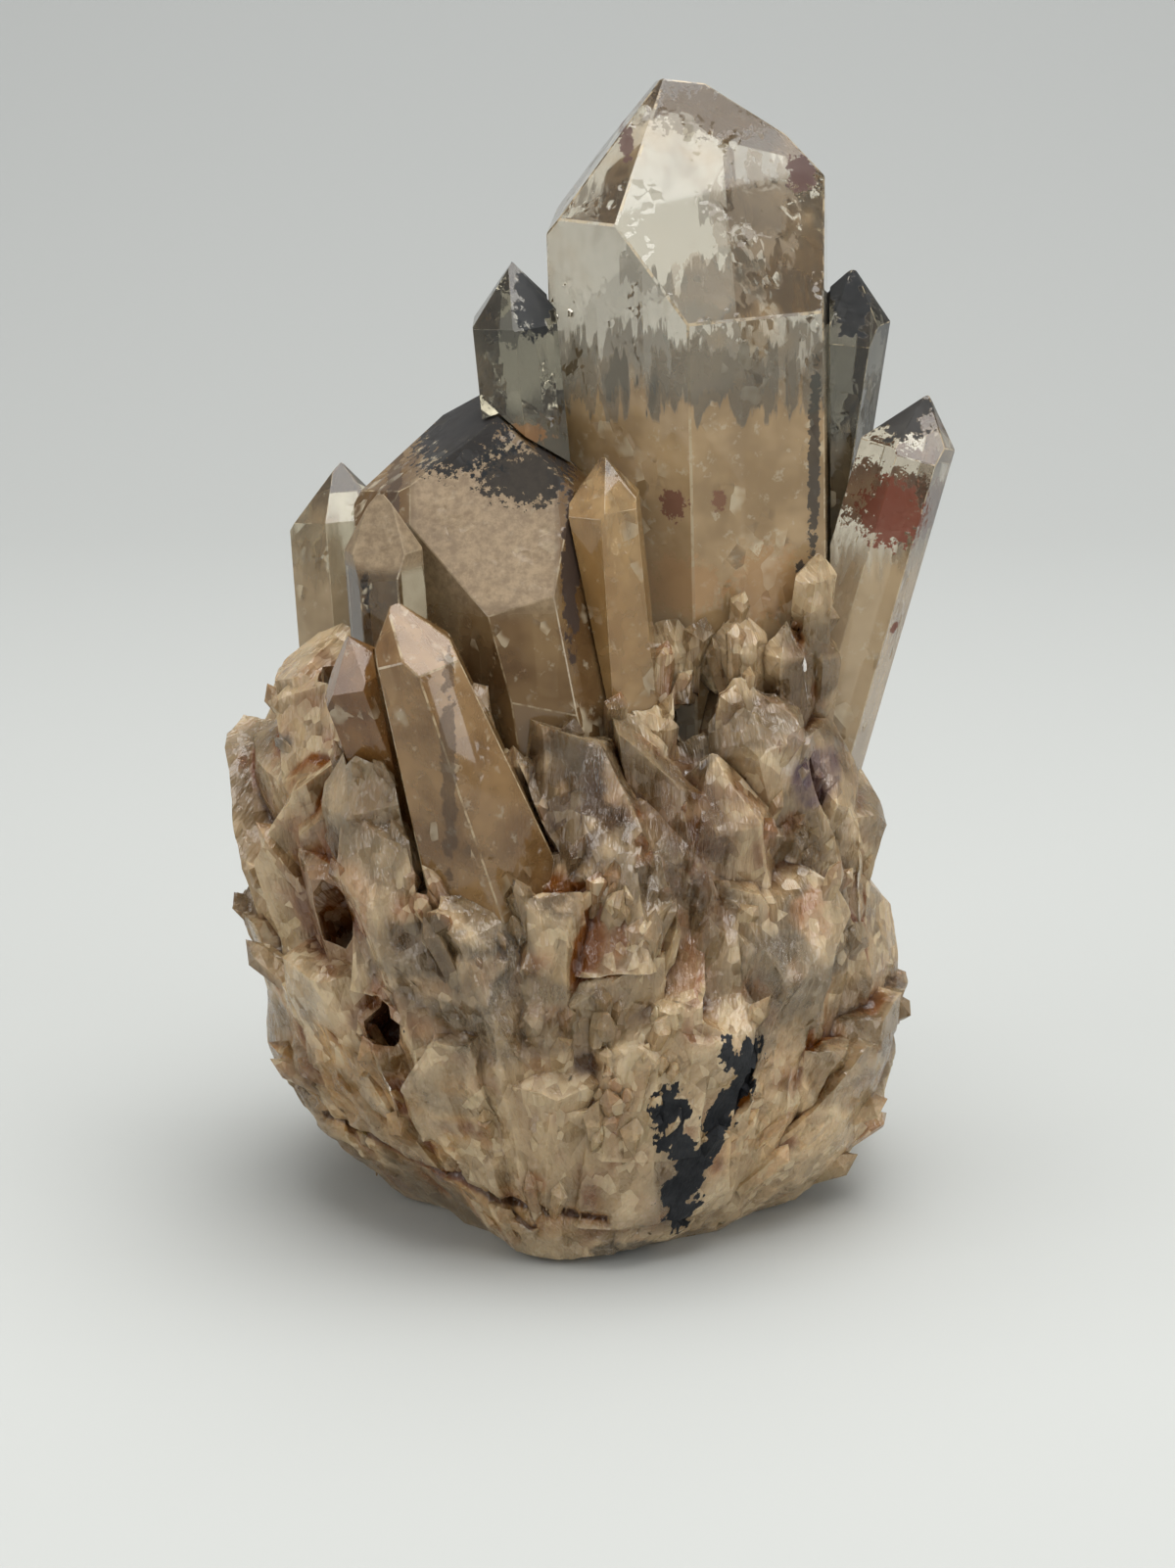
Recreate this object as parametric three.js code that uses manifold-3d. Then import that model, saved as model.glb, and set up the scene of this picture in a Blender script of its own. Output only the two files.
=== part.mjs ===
// A hand-sized citrine cluster: pale quartz crystals standing on a rough root of milky, broken quartz.
// Millimetres, +Z up. The origin is the middle of the bounding box, on the surface that the root stands on.
// -Y is the front, where the largest crystal faces show, and +X is to the right when seen from there.

import * as THREE from "three";
import { ConvexGeometry } from "three/addons/geometries/ConvexGeometry.js";
import { ImprovedNoise } from "three/addons/math/ImprovedNoise.js";
import { mergeVertices } from "three/addons/utils/BufferGeometryUtils.js";
import Module from "manifold-3d";

const wasm = await Module();
wasm.setup();

// Driving dimensions
const CONTACT_GAP = 0.3; // between crystals that touch, and between a crystal and the root
const CAP_SLOPE = 51.8; // degrees between a quartz crystal's long axis and the normals of its end faces
const ROOT_TOP = 52; // highest point of the root's body
const ROOT_SHOULDER = 46; // where the root's sides turn in to its top
const LUMP_DEPTH = 0.08; // unevenness of the root's body, as a share of its outline
const UNEVEN_TURN = 16; // degrees that a broken crystal's faces turn from a regular hexagon
const SPLINTER_REACH = 1; // how far the broken crystals stand out of the root's sides

// The root's reach from the upright axis at several heights: the height, then the reach in eight directions,
// to the right, back right, back, back left, left, front left, front and front right
const ROOT_OUTLINE = [
  [0, 24, 38, 27, 30, 21, 16, 20, 19],
  [4, 28, 38, 27, 32, 25, 18, 23, 22],
  [10, 32, 37, 27, 33, 28, 22, 24, 25],
  [20, 34, 34, 27, 34, 29, 26, 26, 28],
  [30, 34, 33, 27, 34, 31, 28, 27, 28],
  [38, 32, 32, 26, 34, 33, 29, 25, 26],
  [ROOT_SHOULDER, 29, 29, 25, 32, 34, 27, 18, 20],
];

// Rows of broken crystals round the root: how many, how high they end and how long they are
const SPLINTER_ROWS = [
  { count: 15, height: 9, length: 14 },
  { count: 18, height: 17, length: 18 },
  { count: 20, height: 25, length: 20 },
  { count: 20, height: 33, length: 22 },
  { count: 19, height: 41, length: 22 },
  { count: 16, height: 48, length: 22 },
];
const BODY_DETAIL = 6; // of the ball that the root's body is shaped from
const BODY_SHARE = 0.91; // of the outline; the broken crystals reach the rest of the way
const WORN_SHARE = 1.05; // of the outline, beyond which the broken crystals are worn away

const degrees = THREE.MathUtils.degToRad;
const vector = ([x, y, z]) => new THREE.Vector3(x, y, z);

// Repeatable random numbers between low and high
function randomSource(seed) {
  let state = seed;
  return (low, high) => {
    state = (state * 1664525 + 1013904223) % 4294967296;
    return low + ((high - low) * state) / 4294967296;
  };
}

// A closed three.js geometry as a solid that can be joined and cut
function solidOf(geometry) {
  const bare = geometry.clone();
  bare.deleteAttribute("normal");
  bare.deleteAttribute("uv");
  const merged = mergeVertices(bare, 1e-4);
  return new wasm.Manifold(
    new wasm.Mesh({
      numProp: 3,
      vertProperties: merged.attributes.position.array,
      triVerts: new Uint32Array(merged.index.array),
    }),
  );
}

// The convex solid behind a set of planes that face outwards: the corners are where three planes meet
// with no other plane in front of them
function solidBehind(planes) {
  const corners = [];
  planes.forEach((a, i) =>
    planes.slice(i + 1).forEach((b, j) =>
      planes.slice(i + j + 2).forEach((c) => {
        const volume = a.normal.dot(b.normal.clone().cross(c.normal));
        if (Math.abs(volume) < 1e-4) return;
        const corner = new THREE.Vector3()
          .addScaledVector(b.normal.clone().cross(c.normal), -a.constant)
          .addScaledVector(c.normal.clone().cross(a.normal), -b.constant)
          .addScaledVector(a.normal.clone().cross(b.normal), -c.constant)
          .divideScalar(volume);
        if (planes.every((p) => p.distanceToPoint(corner) < 1e-5)) corners.push(corner);
      }),
    ),
  );
  return solidOf(new ConvexGeometry(corners));
}

// Six prism faces of a crystal of this width and depth, the first turned by spin degrees from the front.
// drops says how far below the tip each end face meets the long axis: the lowest ones are the largest.
function evenFaces({ wide, deep, spin, drops, slope = CAP_SLOPE }) {
  return drops.map((drop, k) => {
    const turn = spin + 60 * k;
    const side = Math.hypot((wide / 2) * Math.sin(degrees(turn)), (deep / 2) * Math.cos(degrees(turn)));
    return { turn, side, drop, slope };
  });
}

// The planes of a quartz crystal from its foot to its tip. Each prism face has an end face above it.
// spread tilts the prism faces, so that the crystal widens towards its foot, and chips are further planes.
function crystalPlanes({ foot, tip, faces, spread = 0, chips = [], ...shape }) {
  const top = vector(tip);
  const along = top.clone().sub(vector(foot)).normalize();
  const front = new THREE.Vector3(0, -1, 0).projectOnPlane(along).normalize();
  const right = along.clone().cross(front);
  const plane = (normal, point) => new THREE.Plane().setFromNormalAndCoplanarPoint(normal, point);
  const planes = [plane(along.clone().negate(), vector(foot))];
  for (const { turn, side, drop, slope } of faces ?? evenFaces(shape)) {
    const outward = right
      .clone()
      .multiplyScalar(Math.sin(degrees(turn)))
      .addScaledVector(front, Math.cos(degrees(turn)));
    const leaning = outward.clone().addScaledVector(along, Math.tan(degrees(spread))).normalize();
    planes.push(plane(leaning, top.clone().addScaledVector(outward, side)));
    const cap = outward
      .clone()
      .multiplyScalar(Math.sin(degrees(slope)))
      .addScaledVector(along, Math.cos(degrees(slope)));
    planes.push(plane(cap, top.clone().addScaledVector(along, -drop)));
  }
  for (const { at, facing } of chips) planes.push(plane(vector(facing).normalize(), vector(at)));
  return planes;
}

// The same planes, each moved outwards by the gap, for the pocket that a neighbour leaves round a crystal
const grown = (planes) => planes.map((p) => new THREE.Plane(p.normal.clone(), p.constant - CONTACT_GAP));

// A broken crystal: uneven prism faces, and two slanting breaks in place of its end faces
function brokenPlanes({ foot, end, wide, deep, spin, facing }, random) {
  const faces = evenFaces({ wide, deep, spin, drops: Array(6).fill(-1000) });
  for (const face of faces) {
    face.turn += random(-UNEVEN_TURN, UNEVEN_TURN);
    face.side *= random(0.8, 1.1);
  }
  const chip = [facing[0] + random(-0.9, 0.9), facing[1] + random(-0.9, 0.9), facing[2] * random(0.3, 1)];
  const beside = [end[0] + random(-0.2, 0.2) * wide, end[1] + random(-0.2, 0.2) * deep, end[2]];
  return crystalPlanes({
    foot,
    tip: end,
    faces,
    spread: random(-6, 10),
    chips: [
      { at: end, facing },
      { at: beside, facing: chip },
    ],
  });
}

// The large crystals, each a piece of its own. Where two meet, the later one is cut back to the earlier.
const CRYSTALS = {
  main_crystal: {
    foot: [14.7, 11.9, 44],
    tip: [12.5, 6, 115],
    faces: [
      { turn: 17, side: 14.1, drop: 5.2, slope: 52.8 },
      { turn: 85, side: 13, drop: -3.4, slope: 49.5 },
      { turn: 146, side: 13, drop: 0.5, slope: 47 },
      { turn: 202, side: 13, drop: -4, slope: 49 },
      { turn: 266, side: 14, drop: -0.6, slope: 50.8 },
      { turn: 323, side: 12.7, drop: 2.3, slope: 45 },
    ],
    chips: [
      { at: [11.5, 8, 111.9], facing: [0.1, 0.1, 1] },
      { at: [18.3, 8, 108.9], facing: [0.55, 0.3, 0.83] },
      { at: [24.4, 7, 103.9], facing: [0.77, 0.3, 0.64] },
    ],
  },
  broad_left_crystal: {
    foot: [1, 3, 36],
    tip: [-6, 2, 92],
    wide: 36,
    deep: 34,
    spin: 0,
    drops: Array(6).fill(0),
    chips: [
      { at: [-7.2, -13, 63.6], facing: [-0.12, -0.8, 0.58] }, // the large frosted face
      { at: [-14.4, -4.3, 74.2], facing: [-0.52, -0.2, 0.83] }, // above it
      { at: [-14.4, -6.9, 70.6], facing: [-0.49, -0.71, 0.51] }, // to its left
      { at: [-14.4, -6.9, 70.6], facing: [-0.71, -0.7, -0.11] }, // below it, on the left
      { at: [-4.2, -14.5, 53.5], facing: [0.03, -0.99, 0.12] }, // below it
      { at: [-0.5, -12.7, 65.5], facing: [0.8, -0.55, 0.22] }, // to its right
      { at: [-3, -1, 78], facing: [0.6, -0.1, 0.8] }, // under the crystal on its shoulder
      { at: [-20.4, 0, 66], facing: [-1, -0.1, 0.02] },
      { at: [-16, 8, 60], facing: [-0.7, 0.7, 0.1] },
      { at: [-6, 12, 60], facing: [0.1, 1, 0.2] },
    ],
  },
  front_leaning_crystal: {
    foot: [-7, -20, 40],
    tip: [-15.4, -18.2, 66.4],
    wide: 5.6,
    deep: 7,
    spin: 34,
    spread: 8,
    drops: [2, 1, 0, 0, 0, 0.6],
    chips: [{ at: [-14.6, -18.5, 65.4], facing: [0.1, -0.3, 1] }],
  },
  leaning_right_crystal: {
    foot: [24, 3, 38],
    tip: [36.6, 8.3, 82.8],
    wide: 8,
    deep: 10,
    spin: 8,
    drops: [1.8, 1, 0.5, 1.5, 2.2, 2],
  },
  left_shoulder_crystal: {
    foot: [-1.5, 4, 58],
    tip: [-5, 2, 95.6],
    wide: 8.2,
    deep: 9,
    spin: 30,
    drops: [1, 0.4, 0, 0.3, 1, 0.8],
  },
  right_shoulder_crystal: {
    foot: [23, 15, 48],
    tip: [29, 12.5, 94],
    wide: 8.4,
    deep: 10,
    spin: 8,
    drops: [1.4, 0.3, 0, 0.6, 1, 1.6],
  },
  far_left_crystal: {
    foot: [-20.5, 6, 40],
    tip: [-22.8, 9.5, 75],
    wide: 9.4,
    deep: 8,
    spin: 20,
    drops: [1.5, 0.4, 0, 0.6, 1.5, 1.2],
  },
  grey_tipped_crystal: {
    foot: [-15.5, -9, 44],
    tip: [-17.3, -9.8, 75.2],
    wide: 6.6,
    deep: 7,
    spin: -8,
    slope: 62,
    drops: [2, 0, 0, 0, 0, 0],
  },
  wedge_crystal: {
    foot: [-13, -14, 40],
    tip: [-20.6, -17.5, 62.5],
    wide: 7.4,
    deep: 6,
    spin: -24,
    drops: [1, 0.3, 0, 0, 0, 1.4],
  },
  small_front_crystal: {
    foot: [6, -6, 48],
    tip: [3.9, -7.4, 78],
    wide: 6.2,
    deep: 6.5,
    spin: 24,
    spread: 2,
    drops: [1, 0.3, 0, 0, 0.6, 1.5],
  },
  back_left_crystal: {
    foot: [-8, 16, 36],
    tip: [-13, 21, 73],
    wide: 12,
    deep: 10,
    spin: 14,
    drops: [0, 0.6, 2.2, 1.4, 0.5, 0],
  },
  back_right_crystal: {
    foot: [8, 20, 34],
    tip: [10, 26, 80],
    wide: 11,
    deep: 9.5,
    spin: -8,
    drops: [0, 0.8, 1.8, 2.6, 1, 0.2],
  },
};

// Small crystals that grew on the root and are one with it
const SMALL_CRYSTALS = [
  {
    foot: [13, -2, 36], tip: [11.5, -3.5, 64],
    wide: 7.4, deep: 6, spin: 12, drops: [2, 0.5, 0, 0, 0.6, 2.4],
  },
  { foot: [8, -8, 34], tip: [8, -9, 55], wide: 5.6, deep: 5, spin: 20, drops: [1, 0.4, 0, 0, 0.4, 0.4] },
  {
    foot: [18, -3, 40], tip: [17.2, -5, 62.5],
    wide: 4.8, deep: 4.5, spin: 6, drops: [0.8, 0.3, 0, 0, 0.2, 0.9],
  },
  {
    foot: [21.5, -2, 38], tip: [22.4, -5, 61],
    wide: 4.8, deep: 4.5, spin: 16, drops: [0.5, 0.3, 0, 0, 0.2, 0.4],
  },
  {
    foot: [24.5, 0, 38], tip: [25.6, -3, 60],
    wide: 3.6, deep: 4, spin: 34, drops: [0.4, 0.3, 0, 0, 0.2, 0.4],
  },
  {
    foot: [25, -6, 30], tip: [17, -9.5, 57],
    wide: 8.6, deep: 8, spin: 28, drops: [2.6, 1, 0, 0, 0.4, 1.2],
  },
  {
    foot: [18, -11, 22], tip: [13.4, -14.5, 51],
    wide: 11, deep: 8, spin: 14, drops: [3, 1.2, 0, 0, 0.6, 3.2],
  },
  {
    foot: [12, -14, 18], tip: [7.5, -18.5, 47],
    wide: 8.4, deep: 7, spin: 32, drops: [2.2, 0.8, 0, 0, 0.6, 2],
  },
  { foot: [4, -10, 22], tip: [-1, -15, 52], wide: 13, deep: 9, spin: 16, drops: [2.4, 1, 0, 0, 0.6, 2] },
  {
    foot: [-14, -12, 26], tip: [-19.5, -18.5, 54],
    wide: 9, deep: 8, spin: 4, drops: [2.4, 1, 0, 0, 0.6, 2.4],
  },
  {
    foot: [24, -2, 50], tip: [25.4, -3.5, 67.5],
    wide: 3.8, deep: 3.6, spin: 24, drops: [0.4, 0.3, 0, 0, 0.2, 0.6],
  },
];

// Broken crystals that give the root its ledges on the side that shows
const LEDGES = [
  { foot: [-18, 4, 20], end: [-28, -1, 46], wide: 13, deep: 16, spin: -18, facing: [-0.15, -0.35, 1] },
  { foot: [-18, 4, 30], end: [-24, -1, 57], wide: 8, deep: 9, spin: 12, facing: [-0.7, -0.2, 1] },
  { foot: [-20, -4, 30], end: [-25.5, -7, 53], wide: 6, deep: 8, spin: 32, facing: [-0.6, -0.5, 1] },
  { foot: [-4, -14, 12], end: [-15.5, -22, 43], wide: 12, deep: 9, spin: 8, facing: [0.5, -0.6, 1] },
  { foot: [-10, -8, 2], end: [-23, -15, 30], wide: 11, deep: 9, spin: -30, facing: [-0.3, -0.4, 1] },
  { foot: [-8, -8, -2], end: [-21, -15, 22], wide: 11, deep: 9, spin: -24, facing: [-0.5, -0.6, 1] },
  { foot: [-4, -12, -4], end: [-12, -22, 26], wide: 11, deep: 8, spin: -12, facing: [-0.2, -0.5, 1] },
  { foot: [0, -14, 6], end: [-6, -25, 36], wide: 12, deep: 8, spin: 6, facing: [0.3, -0.8, 1] },
  { foot: [4, -14, -4], end: [1, -24, 24], wide: 12, deep: 8, spin: 22, facing: [-0.4, -0.9, 1] },
  { foot: [5, -12, 10], end: [6.5, -22, 40], wide: 8, deep: 7, spin: 30, facing: [-0.3, -0.5, 1] },
  { foot: [6, -12, -4], end: [14, -22, 28], wide: 12, deep: 8, spin: 26, facing: [0.3, -0.7, 1] },
  { foot: [10, -10, 6], end: [22, -16, 36], wide: 12, deep: 9, spin: 36, facing: [0.3, -0.6, 1] },
  { foot: [12, 0, 12], end: [27.5, -1, 45], wide: 11, deep: 12, spin: 48, facing: [0.8, -0.3, 1] },
  { foot: [12, 2, 2], end: [29, 1, 30], wide: 12, deep: 12, spin: 40, facing: [0.9, -0.3, 0.8] },
  { foot: [14, 8, -4], end: [29.5, 11, 17], wide: 12, deep: 14, spin: 10, facing: [0.6, -0.4, 1] },
  { foot: [-10, 2, -4], end: [-22, 2, 14], wide: 11, deep: 13, spin: 20, facing: [-0.6, -0.3, 1] },
];

// Hollows in the root, left between the crystals that grew there
const HOLLOWS = [
  { foot: [12.5, -4, 38], tip: [13.4, -5.5, 56], wide: 5, deep: 6, spin: 10, drops: Array(6).fill(0) },
  { foot: [-15, -15, 22], tip: [-18, -25, 27], wide: 4.5, deep: 4, spin: 20, drops: Array(6).fill(0) },
  { foot: [-18, -12, 30], tip: [-25, -21, 38], wide: 5, deep: 4, spin: 0, drops: Array(6).fill(0) },
  { foot: [-21, -3, 53], tip: [-22.5, -8.5, 60], wide: 4, deep: 4, spin: 15, drops: Array(6).fill(0) },
];

// Where the root's outline lies in a direction round the axis, at a height between two of its rows
function rootEdge(height, turn) {
  const level = THREE.MathUtils.clamp(height, 0, ROOT_SHOULDER);
  const above = Math.max(ROOT_OUTLINE.findIndex(([rowHeight]) => rowHeight >= level), 1);
  const [low, high] = [ROOT_OUTLINE[above - 1], ROOT_OUTLINE[above]];
  const rise = (level - low[0]) / (high[0] - low[0]);
  const eighths = (((turn / (Math.PI / 4)) % 8) + 8) % 8;
  const side = Math.floor(eighths);
  const round = 0.5 - 0.5 * Math.cos(Math.PI * (eighths - side));
  const reachAt = (row) => THREE.MathUtils.lerp(row[1 + side], row[1 + ((side + 1) % 8)], round);
  const reach = THREE.MathUtils.lerp(reachAt(low), reachAt(high), rise);
  return [reach * Math.cos(turn), reach * Math.sin(turn)];
}

// A ball pulled to a share of the root's outline, flat below and uneven above
function rootLump(fullness, top) {
  const noise = new ImprovedNoise();
  const ball = new THREE.IcosahedronGeometry(1, BODY_DETAIL);
  const position = ball.getAttribute("position");
  const point = new THREE.Vector3();
  const [floorEdge, topEdge] = [-0.72, 0.6];
  for (let i = 0; i < position.count; i++) {
    point.fromBufferAttribute(position, i);
    const ring = Math.hypot(point.x, point.y);
    const lump = noise.noise(point.x * 2.3 + 7, point.y * 2.3, point.z * 2.3);
    let height = (ROOT_SHOULDER * (point.z - floorEdge)) / (topEdge - floorEdge);
    let share = fullness + LUMP_DEPTH * lump;
    if (point.z < floorEdge) {
      height = 0;
      share = (fullness * ring) / Math.sqrt(1 - floorEdge ** 2);
    } else if (point.z > topEdge) {
      height = ROOT_SHOULDER + ((top - ROOT_SHOULDER) * (point.z - topEdge)) / (1 - topEdge) + 3 * lump;
      share *= ring / Math.sqrt(1 - topEdge ** 2);
    }
    const [x, y] = rootEdge(height, Math.atan2(point.y, point.x));
    position.setXYZ(i, x * share, y * share, height);
  }
  return solidOf(ball);
}

// Broken crystals all round the root, fanning up from its base, in rows one above the other
function splinters(random) {
  return SPLINTER_ROWS.flatMap(({ count, height, length }, row) =>
    Array.from({ length: count }, (_, k) => {
      const turn = (2 * Math.PI * (k + 0.5 * row + random(-0.25, 0.25))) / count;
      const top = height + random(-4, 4);
      const wide = random(7, 14);
      const [across, away] = [Math.cos(turn), Math.sin(turn)];
      const [x, y] = rootEdge(top, turn);
      const [lowX, lowY] = rootEdge(top - length, turn);
      const inset = wide / 2 - SPLINTER_REACH;
      return {
        foot: [lowX * 0.9 - inset * across, lowY * 0.9 - inset * away, top - length],
        end: [x - inset * across, y - inset * away, top],
        wide,
        deep: wide * random(0.8, 1.1),
        spin: random(0, 60),
        facing: [across * random(-0.2, 1.2), away * random(-0.2, 1.2), random(0.5, 1)],
      };
    }),
  );
}

const largest = (solid) => solid.decompose().sort((a, b) => b.volume() - a.volume())[0];

function meshOf(name, solid, material) {
  const { vertProperties, numProp, triVerts } = solid.getMesh();
  const geometry = new THREE.BufferGeometry();
  const position = new Float32Array((vertProperties.length / numProp) * 3);
  for (let i = 0; i < position.length / 3; i++) {
    position.set(vertProperties.subarray(i * numProp, i * numProp + 3), 3 * i);
  }
  geometry.setAttribute("position", new THREE.BufferAttribute(position, 3));
  geometry.setIndex(new THREE.BufferAttribute(new Uint32Array(triVerts), 1));
  const mesh = new THREE.Mesh(geometry.toNonIndexed(), material);
  mesh.geometry.computeVertexNormals();
  mesh.name = name;
  return mesh;
}

const CLEAR_QUARTZ = new THREE.MeshStandardMaterial({ color: 0xb3a88c, roughness: 0.12, metalness: 0 });
const MILKY_QUARTZ = new THREE.MeshStandardMaterial({ color: 0x84705a, roughness: 0.5, metalness: 0 });

// Each large crystal, cut back to those before it
function largeCrystals() {
  const pieces = [];
  for (const [name, spec] of Object.entries(CRYSTALS)) {
    const planes = crystalPlanes(spec);
    let solid = solidBehind(planes);
    for (const earlier of pieces) solid = solid.subtract(earlier.pocket);
    pieces.push({ name, solid: largest(solid), pocket: solidBehind(grown(planes)) });
  }
  return pieces;
}

// The root with its small crystals and ledges, cut flat below, with pockets for the large crystals
function root(pieces) {
  const random = randomSource(41);
  const broken = [...splinters(random), ...LEDGES].map((spec) => solidBehind(brokenPlanes(spec, random)));
  const worn = wasm.Manifold.union(broken).intersect(rootLump(WORN_SHARE, ROOT_TOP + 14));
  const small = SMALL_CRYSTALS.map((spec) => solidBehind(crystalPlanes(spec)));
  let solid = wasm.Manifold.union([rootLump(BODY_SHARE, ROOT_TOP), worn, ...small]);
  for (const spec of HOLLOWS) solid = solid.subtract(solidBehind(crystalPlanes(spec)));
  solid = solid.trimByPlane([0, 0, 1], 0);
  for (const { pocket } of pieces) solid = solid.subtract(pocket);
  return largest(solid);
}

const cluster = new THREE.Group();
const crystals = largeCrystals();
cluster.add(meshOf("quartz_root", root(crystals), MILKY_QUARTZ));
for (const { name, solid } of crystals) cluster.add(meshOf(name, solid, CLEAR_QUARTZ));

// The origin is the middle of the bounding box, at the level of the floor
const middle = new THREE.Box3().setFromObject(cluster).getCenter(new THREE.Vector3());
cluster.position.set(-middle.x, -middle.y, 0);

export default cluster;
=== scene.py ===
"""A hand-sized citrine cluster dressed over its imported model: clear to smoky quartz crystals on a rough root
of milky, broken quartz, on a pale studio sweep. Metres, +Z up, the front towards -Y. The tables give places
on the front view in millimetres, across and up."""

import math

import bmesh
import bpy
import numpy as np
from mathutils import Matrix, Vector


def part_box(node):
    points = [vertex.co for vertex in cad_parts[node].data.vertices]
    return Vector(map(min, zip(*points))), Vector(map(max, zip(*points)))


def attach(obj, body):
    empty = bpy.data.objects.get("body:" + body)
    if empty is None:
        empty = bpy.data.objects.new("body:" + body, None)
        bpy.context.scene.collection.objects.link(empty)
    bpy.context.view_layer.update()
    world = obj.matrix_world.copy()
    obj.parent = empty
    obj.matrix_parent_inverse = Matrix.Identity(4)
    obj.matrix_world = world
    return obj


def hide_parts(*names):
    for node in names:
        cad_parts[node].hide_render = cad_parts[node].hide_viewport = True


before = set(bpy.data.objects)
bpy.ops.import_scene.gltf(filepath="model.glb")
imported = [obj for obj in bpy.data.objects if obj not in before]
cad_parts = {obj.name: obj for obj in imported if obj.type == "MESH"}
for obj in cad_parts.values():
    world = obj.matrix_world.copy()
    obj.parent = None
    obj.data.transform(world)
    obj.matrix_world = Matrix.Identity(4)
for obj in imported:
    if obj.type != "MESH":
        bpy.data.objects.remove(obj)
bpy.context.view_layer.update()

MM = 0.001


# Colours


def tone(red, green, blue):
    """A colour given as 0 to 255 screen values, in the linear light that shaders use."""
    screen = np.array([red, green, blue]) / 255
    linear = np.where(screen < 0.04045, screen / 12.92, ((screen + 0.055) / 1.055) ** 2.4)
    return (*linear.tolist(), 1.0)


BLACK = tone(22, 25, 28)
RED_BROWN = tone(104, 46, 28)
PURPLE_BROWN = tone(62, 32, 36)
DARK_BROWN = tone(46, 28, 14)
DARK_VEIL = tone(62, 66, 62)
OCHRE = tone(166, 112, 52)
STAIN_BLUE = tone(13, 16, 21)


# Sizes

GROWTH_POINT = np.array([0.0, -16.0, -6.0])  # mm, where the root's breaks and small crystals fan out from
FAN_AXIS = 40  # mm behind the growth point, where the fan's turning axis stands
FAN_TURN = 60  # mm across the fan for one radian of turn
FAN_LIFT = 40  # mm up the fan for one radian of lift
ROOT_TRIANGLE = 1.0  # mm, the longest side of the triangles that the root is cut into
CHIP_SIZE = 3.4  # mm, how far apart the root's large breaks are
GRAIN_SIZE = 1.5  # mm, how far apart its small ones are
BEND = 0.35  # mm that its faces swing to either side
CRACK_HEIGHT = 5.6  # mm above the floor, of the crack across the bottom of the front
CRACK_WIDTH = 0.5  # mm
CRACK_DEPTH = 0.9  # mm
EVENING_ROUNDS = 40  # how often the root is evened, to find what lies hollow in it
RIDGE_ANGLE = math.radians(16)  # faces of the root that meet more sharply have a hard edge
UNDERCUT = 5  # mm that the root's lower left is worn away at the floor
UNDERCUT_HEIGHT = 15  # mm above the floor, where the undercut ends
FOOT_HEIGHT = 6  # mm, how far up a crystal its foot reaches
SHARD_COUNT = 320  # small crystals scattered over the whole root
SHARD_SUNK = 0.5  # mm that a small crystal's middle lies below the root's skin
SHARD_WIDTH = 3.6  # mm, of the widest of them
SHARD_SIDES = 6
SHARD_NESTS = [  # the centre and reach of a nest in mm, its count and its widest crystal
    ((-10, -20, 37), 8, 34, 5.0),
    ((6, -21, 36), 7, 26, 4.5),
    ((4, -24, 24), 7, 30, 3.6),
    ((19, -10, 44), 7, 20, 4.2),
    ((-20, -14, 52), 6, 10, 4.0),
    ((12, -10, 54), 7, 16, 4.0),
    ((-14, 18, 34), 8, 24, 4.4),
    ((20, 18, 36), 8, 24, 4.4),
]
NOISE_DETAIL = 3  # finer and finer layers in a material's noise
EDGE_WEAR = 0.16  # mm, the width of the worn edges between crystal faces
QUARTZ_IOR = 1.544


# Studio sizes, in metres where nothing else is said

CAMERA_TARGET = Vector((-0.055, -1.016, 43)) * MM
CAMERA_DISTANCE = 350 * MM
CAMERA_LIFT = math.radians(15)
LENS = 80  # mm
SENSOR_WIDTH = 36  # mm
SWEEP_FRONT = -1.2
SWEEP_BACK = 0.35  # where the floor begins to curve up
SWEEP_RADIUS = 0.4
SWEEP_TOP = 1.8
SWEEP_HALF_WIDTH = 1.6
SOFTBOXES = [  # name, place, size and watts
    ("overhead", (0.08, 0.05, 0.8), (0.9, 0.8), 9.5),
    ("right", (0.7, -0.55, 0.35), (0.5, 0.5), 2.2),
    ("left", (-0.75, -0.45, 0.35), (0.5, 0.5), 2.2),
]
ROOM_STRENGTH = 0.75
# The room's light from straight below (0) to straight above (1)
ROOM_LIGHT = [(0.0, (0.16, 0.14, 0.11, 1)), (0.5, (0.42, 0.41, 0.39, 1)), (1.0, (1.0, 1.0, 1.0, 1))]


# Tints and marks

# Patches of the root's front: the place, the reach, the tone and its share
ROOT_PATCHES = [
    ((-2.4, 45), (10, 12), tone(58, 40, 22), 0.95),
    ((12.7, 43), (9, 11), tone(96, 62, 32), 0.9),
    ((-32, 42), (9, 15), tone(162, 138, 102), 0.75),
    ((-23, 45), (8, 10), tone(116, 94, 68), 0.6),
    ((-15, 31), (12, 11), tone(58, 45, 31), 0.9),
    ((22, 31), (9, 9), tone(92, 82, 68), 0.85),
    ((6, 36), (7, 10), tone(122, 106, 84), 0.6),
    ((3.7, 24), (11, 8), tone(190, 166, 130), 0.7),
    ((-22, 16), (14, 12), tone(200, 162, 106), 0.85),
    ((22, 14), (13, 13), tone(222, 194, 152), 0.9),
    ((-8, 6), (14, 4), tone(168, 130, 78), 0.7),
    ((19.5, 49.2), (2.6, 3.6), tone(182, 174, 168), 0.7),
    ((-25.5, 35), (7, 9), tone(120, 72, 32), 0.85),
    ((-20.3, 25), (6, 5), tone(124, 76, 34), 0.8),
    ((-25, 57), (6, 6), tone(120, 72, 32), 0.85),
]
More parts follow.
